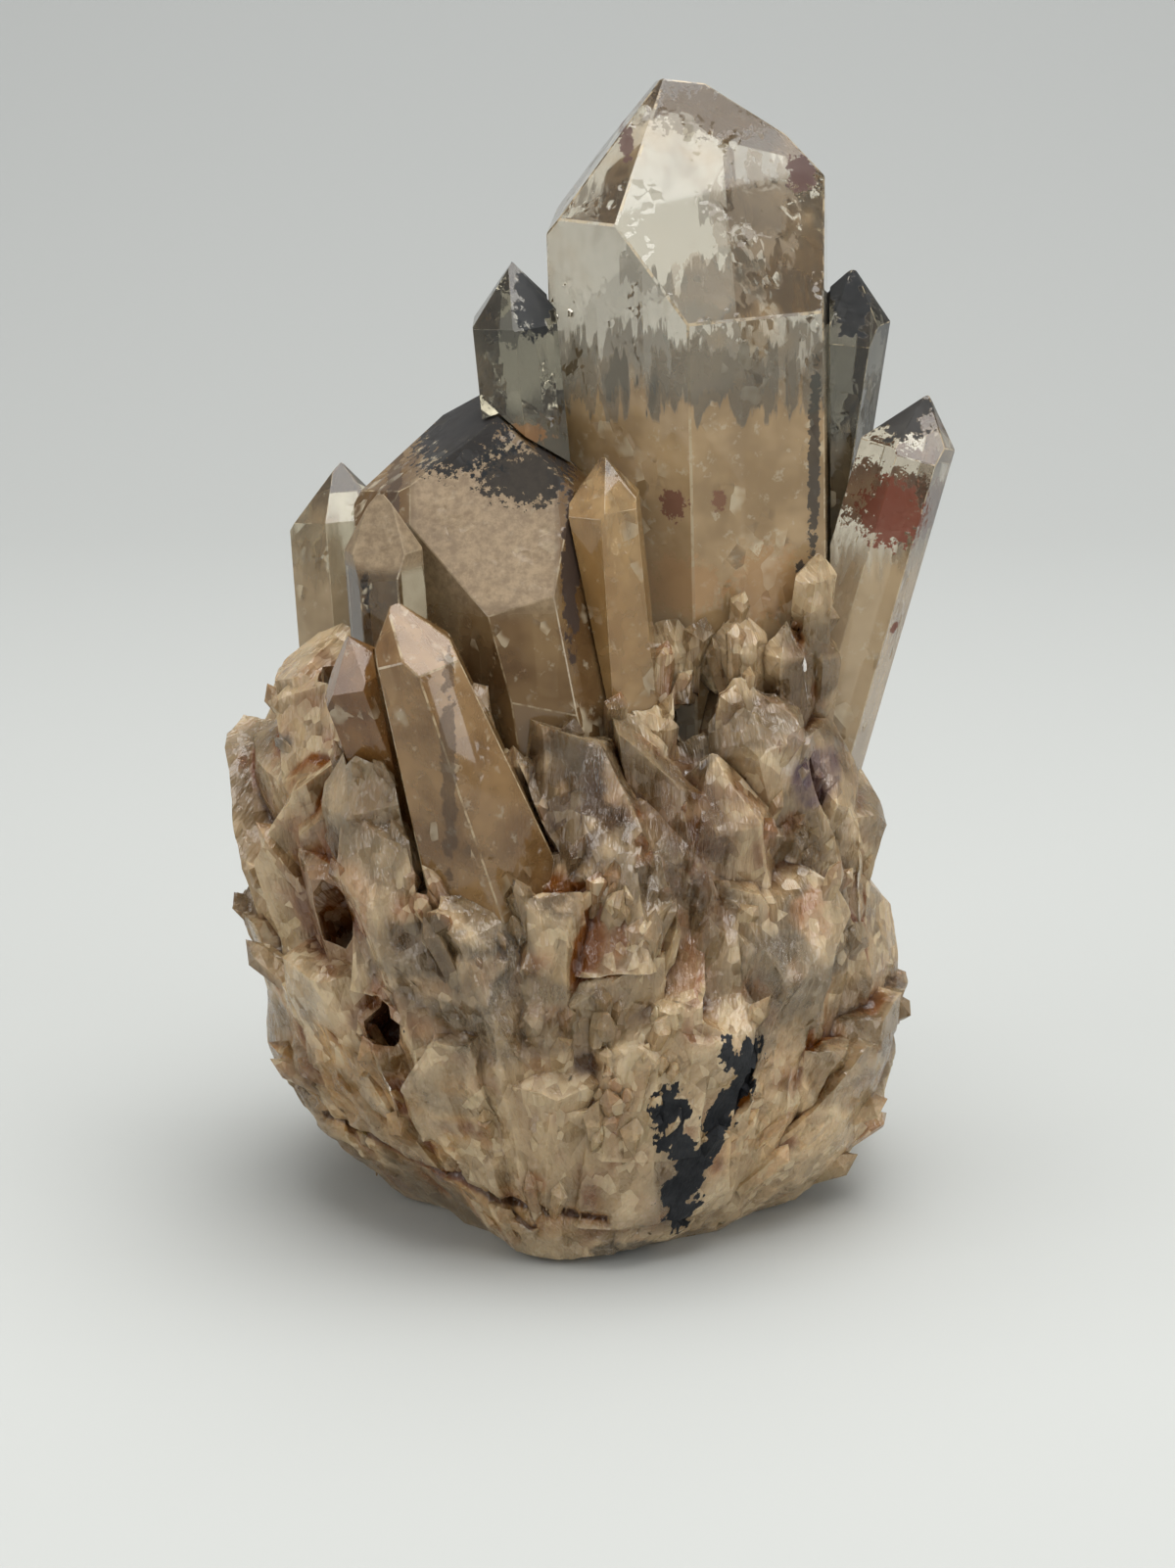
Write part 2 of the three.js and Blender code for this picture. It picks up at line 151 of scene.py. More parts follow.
# Dark and rusty spots on the root's front: the place, the reach and the tone. The rust-brown ones are
# rust-stained cavities; two near-black ones are painted shade, in a hole and where the root meets the floor.
ROOT_RUST_AND_SHADE_SPOTS = [
    ((-25.3, 58), (3.4, 3), tone(74, 42, 18)),
    ((-25.5, 34), (4.2, 6), tone(70, 38, 16)),
    ((-20.3, 24.3), (3.6, 2.6), tone(78, 42, 16)),
    # Painted shade: a near-black spot that paints the shade of a hole
    ((10.6, 51), (3.2, 4.4), tone(30, 18, 10)),
    ((22.2, 46.2), (3.2, 3.6), tone(62, 46, 52)),
    ((-32, 48.9), (4, 1.3), tone(26, 26, 30)),
    # Painted contact shadow: near-black where the root meets the floor
    ((3.6, 1.4), (4, 1.8), tone(16, 18, 22)),
]
# The arms of the branching stain, from end to end
STAIN_ARMS = [((7.5, 19), (10, 11)), ((16, 22), (10.2, 10)), ((10, 11), (8.4, 4)), ((14.5, 20), (13, 23.5))]
STAIN_REACH = 1.5  # mm to either side of an arm

# The large crystals. Each is clear above a height and cloudy below it, within a fade of some millimetres. A
# mark is a place, a reach, a tone, a share and the size of its grain. The frost is where its faces are matt.
CRYSTALS = {
    "main_crystal": dict(
        tint=tone(244, 238, 222), clear_above=83, fade=5, milk=tone(180, 152, 112), deep=tone(146, 120, 84),
        slot="clear_quartz", cloud_share=0.8,
        marks=[
            ((8.4, 72.3), (1.7, 2.2), RED_BROWN, 0.85, "fine"),
            ((12.7, 72.7), (1.0, 1.4), RED_BROWN, 0.7, "fine"),
            ((20.7, 103.3), (2.0, 2.4), PURPLE_BROWN, 0.9, "fine"),
            ((3.7, 106.2), (0.9, 2.0), PURPLE_BROWN, 0.9, "fine"),
            ((18, 64), (5, 5), OCHRE, 0.35, "fine"),
            ((9.4, 64), (5, 4), OCHRE, 0.35, "fine"),
            ((20.8, 65.5), (0.8, 0.9), BLACK, 0.9, "fine"),
            ((13, 109), (11, 3), BLACK, 0.6, "fine"),
            ((22, 76), (0.8, 14), BLACK, 0.85, "fine"),
            ((13, 84.5), (15, 5), DARK_VEIL, 0.66, "fibres"),
            ((13, 94), (6, 3), DARK_VEIL, 0.5, "fibres"),
            ((16, 99), (5, 7), DARK_VEIL, 0.5, "fibres"),
            ((1, 83.5), (7, 4.2), DARK_VEIL, 0.55, "fibres"),
        ],
    ),
    # Painted shade: this clear crystal's glass and cloudy tints are darker, for the main crystal's shadow and
    # the dark it refracts
    "left_shoulder_crystal": dict(
        tint=tone(150, 144, 124), clear_above=80, fade=4, milk=tone(128, 113, 88), deep=tone(84, 78, 62),
        slot="clear_quartz",
        marks=[
            ((-5.1, 91.4), (2.6, 4.6), BLACK, 0.97, "coarse"),
            ((-7.6, 89), (1.6, 2.2), BLACK, 0.7, "fine"),
            ((-6.6, 78.4), (4, 1.6), OCHRE, 0.6, "coarse"),
        ],
    ),
    # Painted shade: this clear crystal's glass and cloudy tints are darker, for the main crystal's shadow and
    # the dark it refracts
    "right_shoulder_crystal": dict(
        tint=tone(130, 125, 110), clear_above=76, fade=5, milk=tone(122, 108, 84), deep=tone(74, 70, 60),
        slot="clear_quartz",
        marks=[
            ((26.1, 90), (3, 5), BLACK, 0.97, "coarse"),
            ((29, 78), (2, 7), BLACK, 0.6, "coarse"),
        ],
    ),
    "leaning_right_crystal": dict(
        tint=tone(240, 232, 214), clear_above=66, fade=8, milk=tone(182, 158, 122), deep=tone(148, 124, 90),
        slot="clear_quartz", cloud_share=0.7,
        marks=[
            ((31.3, 79.6), (4.4, 3.4), BLACK, 0.97, "coarse"),
            ((30.2, 70.2), (4.6, 4.4), RED_BROWN, 0.95, "fine"),
            ((30.7, 58.4), (0.8, 0.8), RED_BROWN, 0.9, "fine"),
        ],
    ),
    "broad_left_crystal": dict(
        tint=tone(206, 178, 136), clear_above=92, fade=8, milk=tone(132, 106, 72), deep=tone(96, 70, 42),
        slot="smoky_quartz", cloud_share=0.75,
        frost=lambda paint: (
            paint.z.ramp(62, 64.5) * paint.y.ramp(-2, -5)
            * paint.x.ramp(-18, -16.5) * paint.x.ramp(-2.4, -3.4)
        ),
        marks=[
            ((-13.2, 79), (8, 5.2), BLACK, 0.95, "fine"),
            ((-6.4, 75.2), (6.2, 3.4), BLACK, 0.9, "fine"),
            ((-1.6, 67), (1.1, 10), DARK_BROWN, 0.95, "coarse"),
            ((-19, 72), (1.0, 8), DARK_BROWN, 0.6, "coarse"),
        ],
    ),
    "far_left_crystal": dict(
        tint=tone(236, 226, 200), clear_above=66, fade=8, milk=tone(172, 150, 116), deep=tone(142, 120, 88),
        slot="clear_quartz", cloud_share=0.7,
    ),
    "grey_tipped_crystal": dict(
        tint=tone(204, 190, 164), clear_above=60, fade=6, milk=tone(122, 103, 77), deep=tone(98, 78, 54),
        slot="smoky_quartz", cloud_share=0.7,
        frost=lambda paint: paint.z.ramp(66.5, 68) * paint.y.ramp(-9, -10),
    ),
    "wedge_crystal": dict(
        tint=tone(214, 184, 138), clear_above=64, fade=10, milk=tone(150, 108, 60), deep=tone(118, 80, 42),
        slot="smoky_quartz", cloud_share=0.6, foot_shift=(1, 2, -4),
    ),
    "front_leaning_crystal": dict(
        tint=tone(216, 190, 148), clear_above=70, fade=16, milk=tone(176, 140, 94), deep=tone(134, 100, 60),
        slot="smoky_quartz", cloud_share=0.55, foot_shift=(1.5, 3.5, -4.7),
        marks=[
            ((-13, 50), (1.0, 14), DARK_BROWN, 0.6, "coarse"),
        ],
    ),
    "small_front_crystal": dict(
        tint=tone(228, 206, 162), clear_above=76, fade=14, milk=tone(190, 156, 106), deep=tone(150, 116, 72),
        slot="smoky_quartz", cloud_share=0.55,
    ),
    "back_left_crystal": dict(
        tint=tone(236, 226, 200), clear_above=64, fade=8, milk=tone(168, 148, 114), deep=tone(138, 118, 86),
        slot="clear_quartz",
    ),
    "back_right_crystal": dict(
        tint=tone(236, 226, 200), clear_above=66, fade=8, milk=tone(168, 148, 114), deep=tone(138, 118, 86),
        slot="clear_quartz",
    ),
}


# Shader maths


class Sock:
    """One output of a paint's nodes. Arithmetic on it adds Math nodes."""

    def __init__(self, paint, socket):
        self.paint = paint
        self.socket = socket

    def math(self, operation, *values):
        return self.paint.node("ShaderNodeMath", {"operation": operation}, dict(enumerate(values)))

    def __add__(self, other):
        return self.math("ADD", self, other)

    __radd__ = __add__

    def __mul__(self, other):
        return self.math("MULTIPLY", self, other)

    __rmul__ = __mul__

    def __sub__(self, other):
        return self.math("SUBTRACT", self, other)

    def __rsub__(self, other):
        return self.math("SUBTRACT", other, self)

    def __truediv__(self, other):
        return self.math("DIVIDE", self, other)

    def power(self, exponent):
        return self.math("POWER", self, exponent)

    def at_least(self, other):
        return self.math("MAXIMUM", self, other)

    def at_most(self, other):
        return self.math("MINIMUM", self, other)

    def ramp(self, low, high):
        """0 below low and 1 above high, smooth between them; the other way round where low is above high."""
        if low > high:
            return 1 - self.ramp(high, low)
        settings = {"interpolation_type": "SMOOTHSTEP"}
        values = {"Value": self, "From Min": low, "From Max": high}
        return self.paint.node("ShaderNodeMapRange", settings, values)


class Paint:
    """A material's node tree. Patterns are in millimetres of Object coordinates."""

    def __init__(self, name):
        self.material = bpy.data.materials.new(name)
        self.material.use_nodes = True
        self.tree = self.material.node_tree
        self.tree.nodes.clear()
        metres = self.node("ShaderNodeTexCoord", {}, {}, "Object")
        values = {"Vector": metres, "Scale": 1 / MM}
        self.place = self.node("ShaderNodeVectorMath", {"operation": "SCALE"}, values)
        self.x = self.node("ShaderNodeSeparateXYZ", {}, {"Vector": self.place}, "X")
        self.y = self.node("ShaderNodeSeparateXYZ", {}, {"Vector": self.place}, "Y")
        self.z = self.node("ShaderNodeSeparateXYZ", {}, {"Vector": self.place}, "Z")

    def node(self, kind, settings, values, output=0):
        """A node of a kind, its settings set first, then the values or links of its sockets."""
        made = self.tree.nodes.new(kind)
        for name, value in settings.items():
            setattr(made, name, value)
        for name, value in values.items():
            if isinstance(value, Sock):
                self.tree.links.new(value.socket, made.inputs[name])
            else:
                made.inputs[name].default_value = value
        return Sock(self, made.outputs[output])

    def noise(self, size, roughness, stretch=(1, 1, 1), shift=0, place=None):
        """Cloudy noise from 0 to 1, its lumps about size mm across, longer where an axis has more stretch."""
        scale = [1 / (size * s) for s in stretch]
        values = {"Vector": place or self.place, "Scale": scale, "Location": (shift, shift, shift)}
        place = self.node("ShaderNodeMapping", {}, values)
        values = {"Vector": place, "Scale": 1.0, "Detail": NOISE_DETAIL, "Roughness": roughness}
        return self.node("ShaderNodeTexNoise", {}, values, "Fac")

    def facets(self, size, tilt, stretch=(1, 1, 1)):
        """Flat faces about size mm across, each tilted its own way: heights in mm, and each face's number. A
        face's height is the product of its random slope and the way from its seed."""
        scale = [1 / (size * s) for s in stretch]
        place = self.node("ShaderNodeMapping", {}, {"Vector": self.place, "Scale": scale})
        slope = self.node("ShaderNodeTexVoronoi", {}, {"Vector": place, "Scale": 1.0}, "Color")
        seed = Sock(self, slope.socket.node.outputs["Position"])
        away = self.node("ShaderNodeVectorMath", {"operation": "SUBTRACT"}, {0: place, 1: seed})
        even = self.node("ShaderNodeVectorMath", {"operation": "SUBTRACT"}, {0: slope, 1: (0.5, 0.5, 0.5)})
        height = self.node("ShaderNodeVectorMath", {"operation": "DOT_PRODUCT"}, {0: away, 1: even}, "Value")
        number = self.node("ShaderNodeSeparateXYZ", {}, {"Vector": slope}, "X")
        return height * (2 * tilt * size), number

    def attribute(self, name, output="Fac"):
        """Values that the mesh holds on its points or faces."""
        return self.node("ShaderNodeAttribute", {"attribute_name": name}, {}, output)

    def mix(self, share, first, second):
        """Colours from first to second, by share. A Mix node's sockets share their names, so the two colours
        and the output go by their numbers."""
        return self.node("ShaderNodeMix", {"data_type": "RGBA"}, {0: share, 6: first, 7: second}, 2)

    def spot(self, centre, reach):
        """1 at a point of the front view, in mm across and up, and 0 beyond its reach across and up."""
        across = (self.x - centre[0]) / reach[0]
        up = (self.z - centre[1]) / reach[1]
        return 1 - (across * across + up * up).power(0.5).at_most(1)

    def bump(self, height, strength):
        """A Bump node's normal from a height in mm."""
        return self.node("ShaderNodeBump", {}, {"Height": height, "Strength": strength, "Distance": MM})

    def shader(self, **values):
        """A Principled shader. Its sockets are named with underscores for spaces."""
        named = {name.replace("_", " "): value for name, value in values.items()}
        return self.node("ShaderNodeBsdfPrincipled", {}, named, "BSDF")

    def finish(self, surface):
        """The material, with this shader as its surface."""
        output = self.tree.nodes.new("ShaderNodeOutputMaterial")
        self.tree.links.new(surface.socket, output.inputs["Surface"])
        return self.material


# Noise for shapes, worked out for all points at once


def ease(values, low, high):
    """0 below low and 1 above high, smooth between them."""
    share = np.clip((values - low) / (high - low), 0, 1)
    return share * share * (3 - 2 * share)


def scatter(cell, salt):
    """A repeatable random number from 0 to 1 for each whole-number cell: the fraction of a large sine."""
    return np.modf(np.abs(np.sin(cell @ np.array([127.1, 311.7, 74.7]) + 37.719 * salt)) * 43758.5453)[0]


def cloud(points, size, salt):
    """Smooth noise from -1 to 1: random values at the corners of cubes of that size, eased between them."""
    cell = np.floor(points / size)
    inside = ease(points / size - cell, 0, 1)
    total = np.zeros(len(points))
    for corner in np.ndindex(2, 2, 2):
        share = np.prod(np.where(np.array(corner) == 1, inside, 1 - inside), axis=1)
        total += share * scatter(cell + corner, salt)
    return 2 * total - 1


def breaks(points, size, tilt, scoop, salt):
    """Broken quartz: each scattered seed has a shallow dish of its own tilt, and the lowest dish is the
    surface, so the dishes meet in sharp ridges. Gives each point's height and its dish's number."""
    cell = np.floor(points / size)
    height = np.full(len(points), 1e9)
    number = np.zeros(len(points))
    for step in np.ndindex(3, 3, 3):
        home = cell + np.array(step) - 1
        jitter = np.stack([scatter(home, salt + k) for k in range(3)], axis=1)
        away = points - (home + jitter) * size
        slope = np.stack([scatter(home, salt + 5 + k) for k in range(3)], axis=1) - 0.5
        dish = 2 * tilt * (away * slope).sum(1) + scoop * (away * away).sum(1) / size
        lower = dish < height
        number = np.where(lower, scatter(home, salt + 11), number)
        height = np.where(lower, dish, height)
    return height, number


def fan(points, stretch):
    """Points in a frame that fans out from the growth point: two angles as lengths, and the distance divided
    by the stretch."""
    away = points - GROWTH_POINT
    distance = np.linalg.norm(away, axis=1)
    turn = np.arctan2(away[:, 0], -away[:, 1] + FAN_AXIS)
    lift = np.arcsin(np.clip(away[:, 2] / distance, -1, 1))
    return np.stack([turn * FAN_TURN, lift * FAN_LIFT, distance / stretch], axis=1)


# Meshes


def new_piece(name, mesh, material):
    """A visible object that rides on the root, with one material."""
    piece = bpy.data.objects.new(name, mesh)
    bpy.context.scene.collection.objects.link(piece)
    mesh.materials.clear()
    mesh.materials.append(material)
    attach(piece, "root")
    return piece


def merged_copy(node):
    """A CAD node's shape with its loose triangles merged."""
    shape = bmesh.new()
    shape.from_mesh(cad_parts[node].data)
    bmesh.ops.remove_doubles(shape, verts=shape.verts, dist=0.002 * MM)
    return shape


def mesh_points(mesh):
    """A mesh's points, in millimetres."""
    points = np.empty(3 * len(mesh.vertices))
    mesh.vertices.foreach_get("co", points)
    return points.reshape(-1, 3) / MM


def mesh_normals(mesh):
    """The normal at each of a mesh's points."""
    normals = np.empty(3 * len(mesh.vertices))
    mesh.vertices.foreach_get("normal", normals)
    return normals.reshape(-1, 3)


def mesh_edges(mesh):
    """The two ends of each of a mesh's edges."""
    edges = np.empty(2 * len(mesh.edges), int)
    mesh.edges.foreach_get("vertices", edges)
    return edges.reshape(-1, 2)


def evened(points, edges, rounds):
    """Points moved to the mean of their neighbours, again and again."""
    ends = np.concatenate([edges, edges[:, ::-1]])
    count = np.bincount(ends[:, 0], minlength=len(points))[:, None]
    for _ in range(rounds):
        total = np.stack(
            [np.bincount(ends[:, 0], weights=points[ends[:, 1], k], minlength=len(points)) for k in range(3)],
            axis=1,
        )
        points = total / np.maximum(count, 1)
    return points


def set_attribute(mesh, name, values):
    """Stores a number on each of a mesh's points."""
    layer = mesh.attributes.new(name, "FLOAT", "POINT")
    layer.data.foreach_set("value", values.astype(np.float32))


def set_growth(mesh, points):
    """Stores where points lie in the fan, for patterns that follow the growth."""
    layer = mesh.attributes.new("growth", "FLOAT_VECTOR", "POINT")
    layer.data.foreach_set("vector", fan(points, 1).astype(np.float32).ravel())


def unit(vectors):
    """Vectors shortened or stretched to a length of 1."""
    return vectors / np.linalg.norm(vectors, axis=1)[:, None]


def shard_seeds(random, points, normals):
    """The points of the root where small crystals stand, and the widest that each may be: scattered thinly
    all over, and crowded in nests."""
    growth = points - GROWTH_POINT
    lean = (growth * normals).sum(1) / np.linalg.norm(growth, axis=1)
    open_side = (points[:, 2] > 3) & (lean > -0.3) & (lean < 0.45)
    chosen = [random.choice(np.flatnonzero(open_side), SHARD_COUNT, replace=False)]
    widest = [np.full(SHARD_COUNT, SHARD_WIDTH)]
    for centre, reach, count, width in SHARD_NESTS:
        near = np.flatnonzero(open_side & (np.linalg.norm(points - centre, axis=1) < reach))
        chosen.append(random.choice(near, count))
        widest.append(np.full(count, width))
    return np.concatenate(chosen), np.concatenate(widest)


def shards(skin, material):
    """Small pointed crystals that stand half sunk in the root and lean along the growth. Each has a ring of
    corners at its foot, one below its tip, and the tip, a little to one side."""
    random = np.random.default_rng(7)
    points, normals = mesh_points(skin), mesh_normals(skin)
    chosen, widest = shard_seeds(random, points, normals)
    total = len(chosen)
    outward = normals[chosen]
    place = points[chosen] - SHARD_SUNK * outward
    along = unit(place - GROWTH_POINT)
    along = unit(along + (0.12 * outward + random.normal(0, 0.14, place.shape)))
    across = unit(np.cross(along, random.normal(0, 1, place.shape)))
    third = np.cross(along, across)
    wide = random.uniform(0.5, 1.0, total) ** 2 * widest
    length = wide * random.uniform(1.4, 2.8, total)
    turn = np.arange(SHARD_SIDES) * 2 * math.pi / SHARD_SIDES
    corners = []
    for level, share in ((-0.6, 0.8), (0.2, 1.0)):
        for angle in turn:
            slant = random.uniform(-0.08, 0.08, total)
            side = 0.5 * wide * share * random.uniform(0.75, 1.1, total)
            wide_side = across * (side * math.cos(angle))[:, None]
            narrow_side = third * (0.7 * side * math.sin(angle))[:, None]
            corners.append(place + along * (length * (level + slant))[:, None] + (wide_side + narrow_side))
    aside = 0.2 * wide * random.uniform(-1, 1, total)
    corners.append(place + along * (0.45 * length)[:, None] + across * aside[:, None])
    vertices = np.stack(corners, axis=1).reshape(-1, 3)
    low, high = (np.array(corner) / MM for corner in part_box("quartz_root"))
    vertices = np.clip(vertices, low, high)
    n = SHARD_SIDES
    ring = [(k, (k + 1) % n) for k in range(n)]
    sides = [(a, b, b + n, a + n) for a, b in ring]
    cap = [(a + n, b + n, 2 * n) for a, b in ring]
    foot = [tuple(reversed(range(n)))]
    starts = range(0, len(vertices), 2 * n + 1)
    faces = [tuple(start + k for k in face) for start in starts for face in sides + cap + foot]
    mesh = bpy.data.meshes.new("quartz_shards")
    mesh.from_pydata((vertices * MM).tolist(), [], faces)
    set_attribute(mesh, "hollow", np.full(len(vertices), -0.2))
    set_attribute(mesh, "plate", np.repeat(random.uniform(0, 1, total), 2 * n + 1))
    set_growth(mesh, vertices)
    root_tints(mesh, vertices)
    new_piece("quartz_shards", mesh, material)


# The root's tints, worked out for all points at once


def front_spot(points, centre, reach):
    """1 at a place of the front view, across and up, and 0 beyond its reach and on the back."""
    away = np.hypot((points[:, 0] - centre[0]) / reach[0], (points[:, 2] - centre[1]) / reach[1])
    return (1 - np.minimum(away, 1)) * ease(-points[:, 1], 0, 6)


def stain_field(points):
    """1 on the arms of the branching stain and 0 beyond its reach."""
    place = points[:, [0, 2]] + 1.2 * np.stack([cloud(points, 4, 70), cloud(points, 4, 71)], axis=1)
    nearest = np.full(len(points), 1e9)
    for start, end in np.array(STAIN_ARMS, float):
        arm = end - start
        along = np.clip((place - start) @ arm / (arm @ arm), 0, 1)
        nearest = np.minimum(nearest, np.linalg.norm(place - start - along[:, None] * arm, axis=1))
    return np.clip(1 - nearest / (2 * STAIN_REACH), 0, 1) * ease(-points[:, 1], 5, 12)


def root_tints(mesh, points):
    """Stores the root's broad colours on its points, and how much they lie in a rust or painted shade spot, a
    rusty or dark zone or the stain. Some of the spots are near-black painted shade: a hole's shade and the
    contact shadow at the floor."""
    broad = cloud(points, 9, 90) + 0.5 * cloud(points, 4, 91)
    ragged = 0.45 * cloud(points, 2.5, 92)
    share = ease(broad, -0.5, 0.5)[:, None]
    color = (1 - share) * np.array(tone(132, 112, 84)) + share * np.array(tone(166, 146, 114))
    rust_and_shade_spot = np.zeros(len(points))
    for centre, reach, hue, strength in ROOT_PATCHES:
        share = (ease(front_spot(points, centre, reach) + ragged, 0.1, 0.55) * strength)[:, None]
        color = (1 - share) * color + share * np.array(hue)
    # Rust-brown spots, and near-black spots of painted shade: a hole's shade and the contact shadow at the
    # floor
    for centre, reach, hue in ROOT_RUST_AND_SHADE_SPOTS:
        share = ease(front_spot(points, centre, reach) * (1 + ragged), 0.05, 0.3)
        color = (1 - share[:, None]) * color + share[:, None] * np.array(hue)
        rust_and_shade_spot = np.maximum(rust_and_shade_spot, share)
    layer = mesh.attributes.new("tint", "FLOAT_COLOR", "POINT")
    layer.data.foreach_set("color", color.astype(np.float32).ravel())
    set_attribute(mesh, "broad", 0.5 + 0.5 * broad)
    set_attribute(mesh, "rust_and_shade_spot", rust_and_shade_spot)
    set_attribute(mesh, "rust", 0.3 + 0.7 * ease(cloud(points, 8, 55), 0, 0.4))
    set_attribute(mesh, "shade", 1 - ease(color[:, :3].mean(1), 0.04, 0.14))
    set_attribute(mesh, "stain", stain_field(points))


def crystal_piece(node, slot, foot_shift=(0, 0, 0), **look):
    """A crystal's flat faces with narrow worn edges between them, in its own finish. Its foot may lean into
    the root."""
    shape = merged_copy(node)
    foot = min(vertex.co.z for vertex in shape.verts) + FOOT_HEIGHT * MM
    for vertex in shape.verts:
        if vertex.co.z < foot:
            vertex.co += Vector(foot_shift) * MM
    bmesh.ops.dissolve_limit(shape, angle_limit=math.radians(0.5), verts=shape.verts, edges=shape.edges)
    edge = shape.faces.layers.float.new("edge")
    sharp = [e for e in shape.edges if len(e.link_faces) == 2 and e.calc_face_angle(0) > math.radians(8)]
    worn = bmesh.ops.bevel(
        shape, geom=sharp, offset=EDGE_WEAR * MM, segments=1, affect="EDGES", profile=0.5, clamp_overlap=True
    )["faces"]
    for face in worn:
        face[edge] = 1.0
    mesh = bpy.data.meshes.new(node + "_dressed")
    shape.to_mesh(mesh)
    shape.free()
    piece = new_piece(node + "_dressed", mesh, quartz_finish(node, **look))
    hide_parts(node)


def cut_small(node, longest):
    """A CAD node's faces as a mesh of triangles, its edges halved again and again while longer than that."""
    shape = merged_copy(node)
    for _ in range(7):
        bmesh.ops.triangulate(shape, faces=shape.faces)
        long_edges = [edge for edge in shape.edges if edge.calc_length() > longest]
        if not long_edges:
            break
        bmesh.ops.subdivide_edges(shape, edges=long_edges, cuts=1)
    bmesh.ops.triangulate(shape, faces=shape.faces)
    skin = bpy.data.meshes.new(node + "_dressed")
    shape.to_mesh(skin)
    shape.free()
    return skin


def root_piece(material):
    """The root's own faces, bent a little, and chipped in patches by dished breaks that fan out from the
    growth point. A crack runs across the bottom of the front, and the lower left is undercut."""
    skin = cut_small("quartz_root", ROOT_TRIANGLE * MM)
    points, normals = mesh_points(skin), mesh_normals(skin)
    chipped = np.clip(0.3 + 1.6 * cloud(points, 9, 70), 0, 1)
    chips, chip = breaks(fan(points, 2.4) * [1, 1, 1.6], CHIP_SIZE, 0.6, 0.2, 20)
    grain, _ = breaks(points, GRAIN_SIZE, 0.7, 0.2, 40)
    push = (chips - np.median(chips)) * 0.45 * chipped + (grain - np.median(grain)) * (0.08 + 0.3 * chipped)
    bend = np.stack([cloud(points, 5, 60 + k) + 0.2 * cloud(points, 2, 80 + k) for k in range(3)], axis=1)
    above_crack = points[:, 2] - CRACK_HEIGHT + 0.15 * points[:, 0] - 0.8 * bend[:, 0]
    crack = np.exp(-((above_crack / CRACK_WIDTH) ** 2))
    crack *= (points[:, 0] < 2) & (points[:, 1] < -6)
    push -= CRACK_DEPTH * crack
    base = np.clip(points[:, 2] / 1.5, 0, 1)[:, None]
    moved = points + (normals * push[:, None] + BEND * bend) * base
    undercut = np.clip(1 - points[:, 2] / UNDERCUT_HEIGHT, 0, 1) * np.clip(-(points[:, 0] + 6) / 14, 0, 1)
    moved[:, 0] += UNDERCUT * undercut
    box_low, box_high = (np.array(corner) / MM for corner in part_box("quartz_root"))
    moved = np.clip(moved, box_low, box_high)
    skin.vertices.foreach_set("co", (moved * MM).ravel())
    hollow = ((evened(moved, mesh_edges(skin), EVENING_ROUNDS) - moved) * normals).sum(1)
    set_attribute(skin, "hollow", hollow + 1.4 * crack)
    set_attribute(skin, "plate", chip)
    set_growth(skin, points)
    root_tints(skin, points)
    skin.shade_smooth()
    skin.set_sharp_from_angle(angle=RIDGE_ANGLE)
    piece = new_piece("quartz_root_dressed", skin, material)
    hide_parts("quartz_root")
    shards(skin, material)


# Finishes


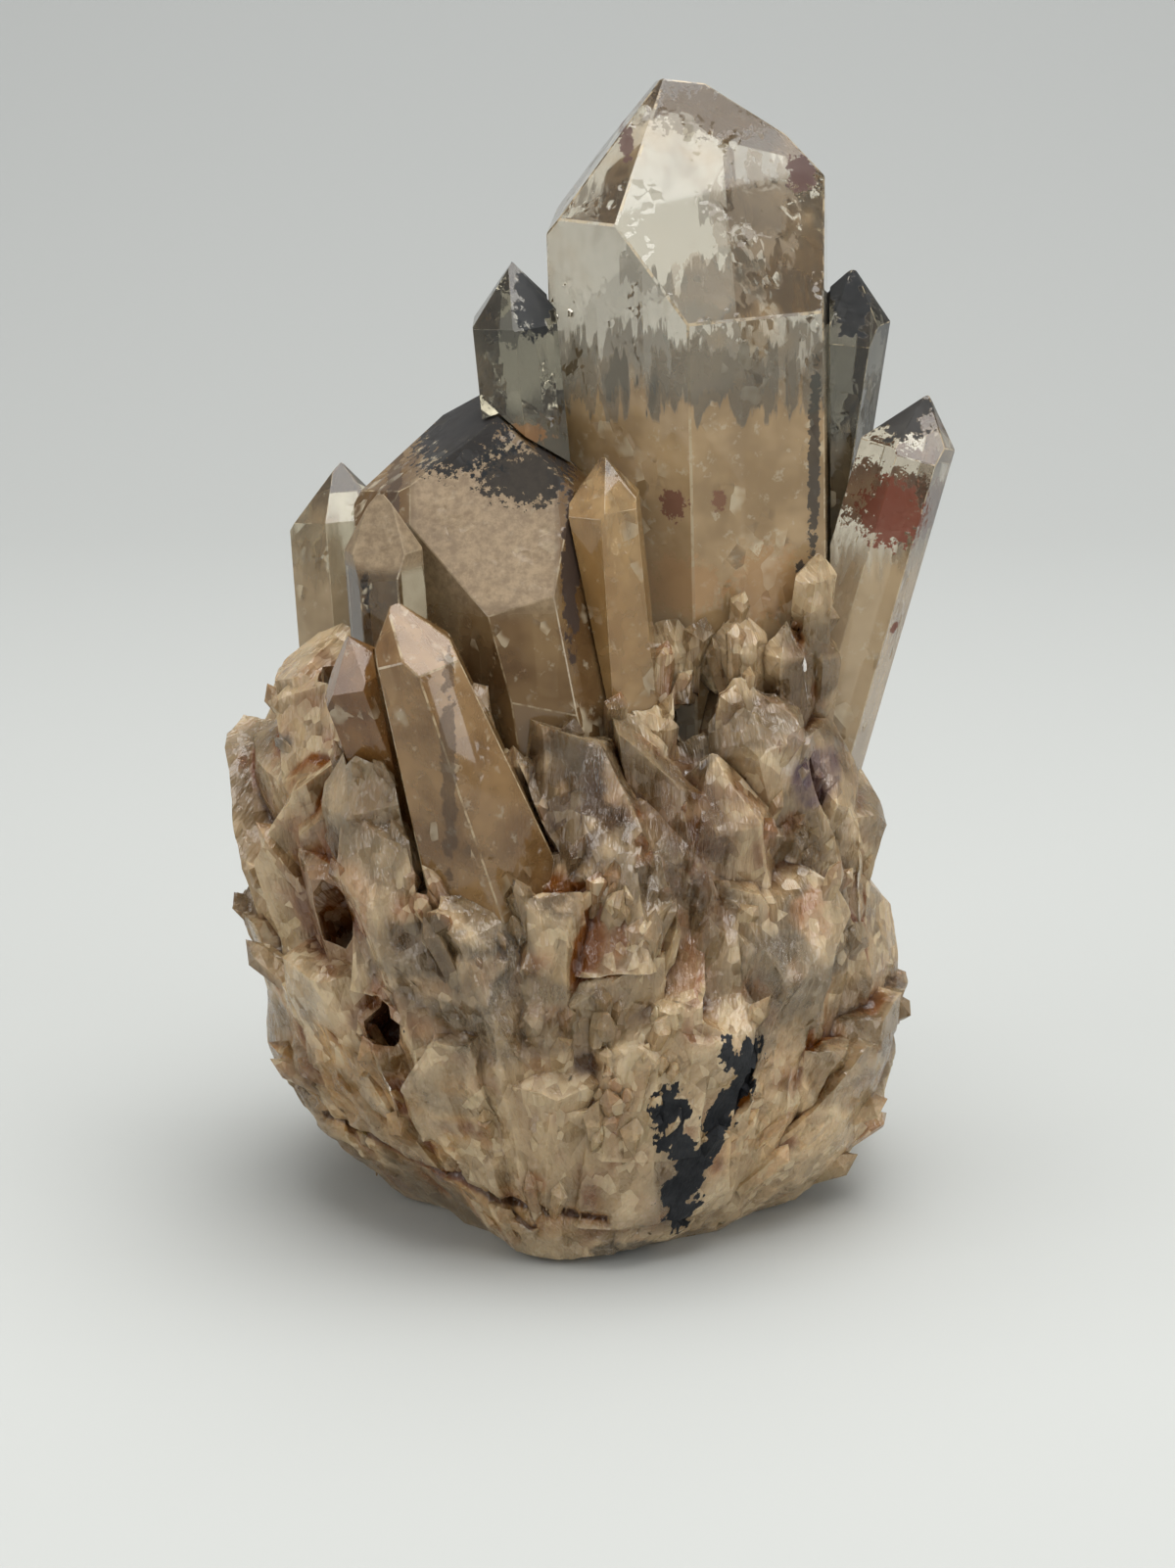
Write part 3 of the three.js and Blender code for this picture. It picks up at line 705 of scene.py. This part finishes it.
def root_finish():
    """Milky to smoky broken quartz: pale worn edges, grey-brown faces, rust in the hollows and cracks, darker
    brown in the deepest of them, and a blue-black branching stain low on the front."""
    paint = Paint("milky_quartz")
    hollow = paint.attribute("hollow")
    plate = paint.attribute("plate")
    broad = paint.attribute("broad")
    fine = paint.noise(2.6, 0.65, shift=9)
    # Broad tints, plates and fine patches
    color = paint.attribute("tint", "Color")
    color = paint.mix(plate.ramp(0.35, 0.9) * 0.35, color, tone(170, 152, 122))
    color = paint.mix(plate.ramp(0.5, 0.05) * 0.2, color, tone(100, 82, 58))
    color = paint.mix(fine.ramp(0.54, 0.7) * 0.45, color, tone(186, 168, 136))
    color = paint.mix(fine.ramp(0.46, 0.3) * 0.25, color, tone(96, 78, 54))
    # Split faces, chips painted lighter and darker in patches, pale ridges and growth fibres. The lighter and
    # darker chips are painted glints and painted shade.
    split, split_number = paint.facets(3.2, 0.3, (1, 1, 1.7))
    chip, chip_number = paint.facets(1.1, 0.45, (1, 1, 1.3))
    painted_glint_patches = broad.ramp(0.42, 0.58)
    color = paint.mix(split_number.ramp(0.6, 0.9) * 0.3, color, tone(176, 158, 126))
    color = paint.mix(split_number.ramp(0.35, 0.1) * 0.22, color, tone(108, 90, 66))
    # Painted glints and painted shade: in patches, some chip faces lighter and some darker
    color = paint.mix(chip_number.ramp(0.72, 0.8) * painted_glint_patches * 0.55, color, tone(206, 190, 158))
    color = paint.mix(chip_number.ramp(0.25, 0.15) * painted_glint_patches * 0.25, color, tone(96, 78, 54))
    color = paint.mix(hollow.ramp(-0.1, -0.7) * 0.55, color, tone(196, 178, 146))
    growth = paint.attribute("growth", "Vector")
    fibres = paint.noise(1.0, 0.6, stretch=(1, 1, 9), place=growth)
    color = paint.mix(fibres.ramp(0.55, 0.7) * 0.3, color, tone(182, 160, 124))
    color = paint.mix(fibres.ramp(0.45, 0.32) * 0.22, color, tone(110, 90, 64))
    # Dark zones, rust and the stain
    color = paint.mix(paint.attribute("shade") * 0.65, color, paint.attribute("tint", "Color"))
    rust = paint.attribute("rust") * hollow.ramp(0.05, 0.5)
    color = paint.mix(rust, color, tone(92, 60, 32))
    # Darker brown in the deepest hollows and along the crack
    color = paint.mix(hollow.ramp(0.45, 1.2) * 0.85, color, tone(58, 32, 14))
    warmer = {"Color": color, "Hue": 0.494, "Saturation": 1.12, "Value": 1.38}
    color = paint.node("ShaderNodeHueSaturation", {}, warmer)
    stain = (paint.attribute("stain") + (fine - 0.5) * 1.7 + (fibres - 0.5) * 0.9).ramp(0.54, 0.6)
    color = paint.mix(stain, color, STAIN_BLUE)
    # Milky quartz with see-through parts
    height = split + chip * 0.85 + fibres * 0.4
    gloss = fine.ramp(0.35, 0.7) * 0.24 + plate * 0.1
    normal = paint.bump(height, 1.0)
    milky = paint.shader(
        Base_Color=color,
        Roughness=gloss + 0.12 + stain * 0.5,
        IOR=QUARTZ_IOR,
        Subsurface_Weight=0.3,
        Subsurface_Radius=(1.0, 0.75, 0.5),
        Subsurface_Scale=1 * MM,
        Normal=normal,
    )
    glass = paint.shader(
        Base_Color=paint.mix(0.42, color, tone(240, 232, 212)),
        Roughness=0.12,
        IOR=QUARTZ_IOR,
        Transmission_Weight=1.0,
        Normal=normal,
    )
    dull = rust.at_least(paint.attribute("rust_and_shade_spot"))
    see_through = (broad.ramp(0.6, 0.4) * 0.3 + 0.35) * (1 - stain) * (1 - dull)
    return paint.finish(paint.node("ShaderNodeMixShader", {}, {0: see_through, 1: milky, 2: glass}, "Shader"))


def quartz_finish(name, tint, clear_above, fade, milk, deep, cloud_share=0.82, marks=(), frost=None):
    """Clear quartz above a height, cloudy below it, with a ragged border, fine veils, and the crusts and
    frosted patches that a crystal is given."""
    paint = Paint(name)
    # How solid the quartz looks, from clear to cloudy
    streaks = paint.noise(3.2, 0.6, stretch=(0.45, 0.45, 2.6))
    ragged = (streaks - 0.5) * fade * 1.6 + (paint.noise(6, 0.5, shift=12) - 0.5) * fade
    cloudy = (paint.z + ragged).ramp(clear_above + fade / 2, clear_above - fade / 2)
    veils = paint.noise(7, 0.62, stretch=(1, 1, 1.5), shift=5).ramp(0.5, 0.75) * 0.35
    solid = (cloudy * cloud_share).at_least(veils + 0.08)
    # The cloudy quartz's tints, its chips and its worn edges
    color = paint.mix(paint.noise(8, 0.6, shift=21).ramp(0.35, 0.65), milk, deep)
    color = paint.mix(paint.noise(1.5, 0.7, shift=33).ramp(0.58, 0.72) * 0.4, color, tone(205, 196, 172))
    chip, chip_number = paint.facets(1.3, 0.3, (1, 1, 1.4))
    chipped = paint.noise(6, 0.65, shift=71).ramp(0.54, 0.66)
    color = paint.mix(chip_number.ramp(0.7, 0.8) * chipped * 0.6, color, tone(214, 200, 170))
    color = paint.mix(chip_number.ramp(0.25, 0.15) * chipped * 0.5, color, tone(84, 64, 40))
    rough = paint.noise(5, 0.6, shift=44).ramp(0.4, 0.7) * 0.16 + 0.06 + chipped * 0.08
    edge = paint.attribute("edge") * paint.noise(1.8, 0.6, shift=61).ramp(0.35, 0.6)
    color = paint.mix(edge * 0.7, color, tone(190, 174, 142))
    solid = solid.at_least(edge * 0.75)
    rough = rough + edge * 0.25
    if frost is not None:
        mask = frost(paint)
        sand = paint.noise(0.9, 0.75, shift=2)
        matt = paint.mix(sand.ramp(0.3, 0.7), tone(112, 93, 68), tone(148, 128, 99))
        color = paint.mix(mask * 0.8, color, matt)
        solid = solid.at_least(mask * 0.92)
        rough = rough + mask * 0.4
    # Crusts and spots
    grains = {
        "fine": paint.noise(0.8, 0.75),
        "coarse": paint.noise(1.7, 0.7),
        "fibres": streaks * 1.5 - 0.25,
    }
    for place, reach, hue, share, grain in marks:
        spot = paint.spot(place, reach)
        torn = (grains[grain] - 0.5) * 2
        mask = (spot + torn).ramp(0.22, 0.36) * spot.ramp(0, 0.12) * share
        color = paint.mix(mask, color, hue)
        solid = solid.at_least(mask)
        rough = rough + mask * 0.75
    normal = paint.bump(chip * chipped, 0.5)
    glass = paint.shader(
        Base_Color=tint, Roughness=0.02, IOR=QUARTZ_IOR, Transmission_Weight=1.0, Normal=normal
    )
    body = paint.shader(Base_Color=color, Roughness=rough, IOR=QUARTZ_IOR, Normal=normal)
    mixed = paint.node("ShaderNodeMixShader", {}, {0: solid, 1: glass, 2: body}, "Shader")
    return paint.finish(mixed)


# Studio


def sweep():
    """A floor that curves up into a backdrop: straight, then a quarter circle, then straight up, carried
    across."""
    arc = [(SWEEP_BACK + SWEEP_RADIUS * math.sin(a), SWEEP_RADIUS * (1 - math.cos(a)))
           for a in np.linspace(0, math.pi / 2, 24)]
    profile = [(SWEEP_FRONT, 0.0), *arc, (SWEEP_BACK + SWEEP_RADIUS, SWEEP_TOP)]
    points = [(x, y, z) for x in (-SWEEP_HALF_WIDTH, SWEEP_HALF_WIDTH) for y, z in profile]
    count = len(profile)
    faces = [(k, k + count, k + count + 1, k + 1) for k in range(count - 1)]
    mesh = bpy.data.meshes.new("sweep")
    mesh.from_pydata(points, [], faces)
    mesh.shade_smooth()
    paint = Paint("sweep_paper")
    # Painted shade: the paper is painted darker towards the back and the top, where less light falls
    far = (paint.y + paint.z).ramp(-200, 1000)
    color = paint.mix(far, tone(176, 178, 175), tone(150, 152, 151))
    mesh.materials.append(paint.finish(paint.shader(Base_Color=color, Roughness=0.8)))
    piece = bpy.data.objects.new("sweep", mesh)
    bpy.context.scene.collection.objects.link(piece)


def softbox(name, place, size, power):
    """A rectangular lamp in watts, turned towards the cluster."""
    light = bpy.data.lights.new(name, "AREA")
    light.shape = "RECTANGLE"
    light.size, light.size_y = size
    light.energy = power
    lamp = bpy.data.objects.new(name, light)
    lamp.location = place
    lamp.rotation_euler = (Vector((0, 0, 0.05)) - Vector(place)).to_track_quat("-Z", "Y").to_euler()
    bpy.context.scene.collection.objects.link(lamp)


def room():
    """Even light from all sides, darker and warmer below and towards the camera."""
    world = bpy.data.worlds.new("room")
    bpy.context.scene.world = world
    world.use_nodes = True
    tree = world.node_tree
    tree.nodes.clear()
    direction = tree.nodes.new("ShaderNodeTexCoord")
    split = tree.nodes.new("ShaderNodeSeparateXYZ")
    ramp = tree.nodes.new("ShaderNodeValToRGB")
    ramp.color_ramp.elements.new(0.5)
    for stop, (height, color) in zip(ramp.color_ramp.elements, ROOM_LIGHT):
        stop.position = height
        stop.color = color
    half = tree.nodes.new("ShaderNodeMapRange")
    half.inputs["From Min"].default_value = -1
    background = tree.nodes.new("ShaderNodeBackground")
    background.inputs["Strength"].default_value = ROOM_STRENGTH
    output = tree.nodes.new("ShaderNodeOutputWorld")
    tree.links.new(direction.outputs["Generated"], split.inputs["Vector"])
    tree.links.new(split.outputs["Z"], half.inputs["Value"])
    tree.links.new(half.outputs["Result"], ramp.inputs["Fac"])
    tree.links.new(ramp.outputs["Color"], background.inputs["Color"])
    tree.links.new(background.outputs["Background"], output.inputs["Surface"])


def camera():
    """The photograph's view: a long lens, 15 degrees above the horizon, straight from the front."""
    lens = bpy.data.cameras.new("camera")
    lens.lens = LENS
    lens.sensor_width = SENSOR_WIDTH
    lens.clip_start = 0.01
    eye = bpy.data.objects.new("camera", lens)
    outward = Vector((0, -math.cos(CAMERA_LIFT), math.sin(CAMERA_LIFT)))
    eye.location = CAMERA_TARGET + outward * CAMERA_DISTANCE
    eye.rotation_euler = (math.radians(90) - CAMERA_LIFT, 0, 0)
    bpy.context.scene.collection.objects.link(eye)
    bpy.context.scene.camera = eye


# The cluster and its studio

root_piece(root_finish())
for node, look in CRYSTALS.items():
    crystal_piece(node, **look)
sweep()
for lamp in SOFTBOXES:
    softbox(*lamp)
room()
camera()
bpy.context.scene.view_settings.view_transform = "Standard"
